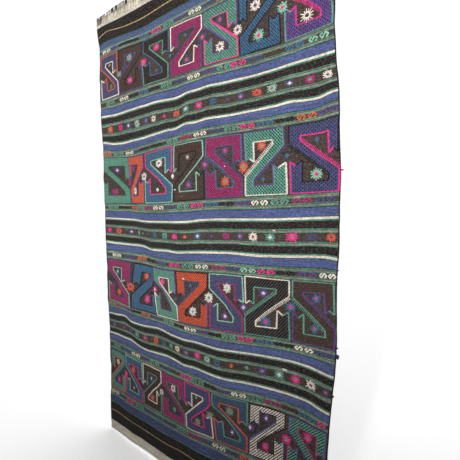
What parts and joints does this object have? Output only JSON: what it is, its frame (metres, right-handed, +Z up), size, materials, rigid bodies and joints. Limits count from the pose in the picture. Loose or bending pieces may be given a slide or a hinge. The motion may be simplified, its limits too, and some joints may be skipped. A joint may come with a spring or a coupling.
{
  "type": "kilim rug",
  "caption": "Hand-woven wool kilim with bands of hooked motifs and stars, hanging nearly flat from its top edge, a fringe standing above it.",
  "frame": {"origin": "middle of the panel's top edge, half way through the cloth, where the rug is held up", "axes": "+Z up along the length of the rug, +Y out of its back towards the wall, +X across it to the right as its face is seen; the face looks along -Y"},
  "size_m": [1.8808, 0.106, 3.1759],
  "materials": {
    "panel_wool": "matte hand-spun wool in many colours on a dark ground",
    "fringe_wool": "undyed cream warp yarn"
  },
  "bodies": {
    "root": {"woven_panel": "panel_wool", "top_fringe": "fringe_wool"}
  },
  "joints": []
}
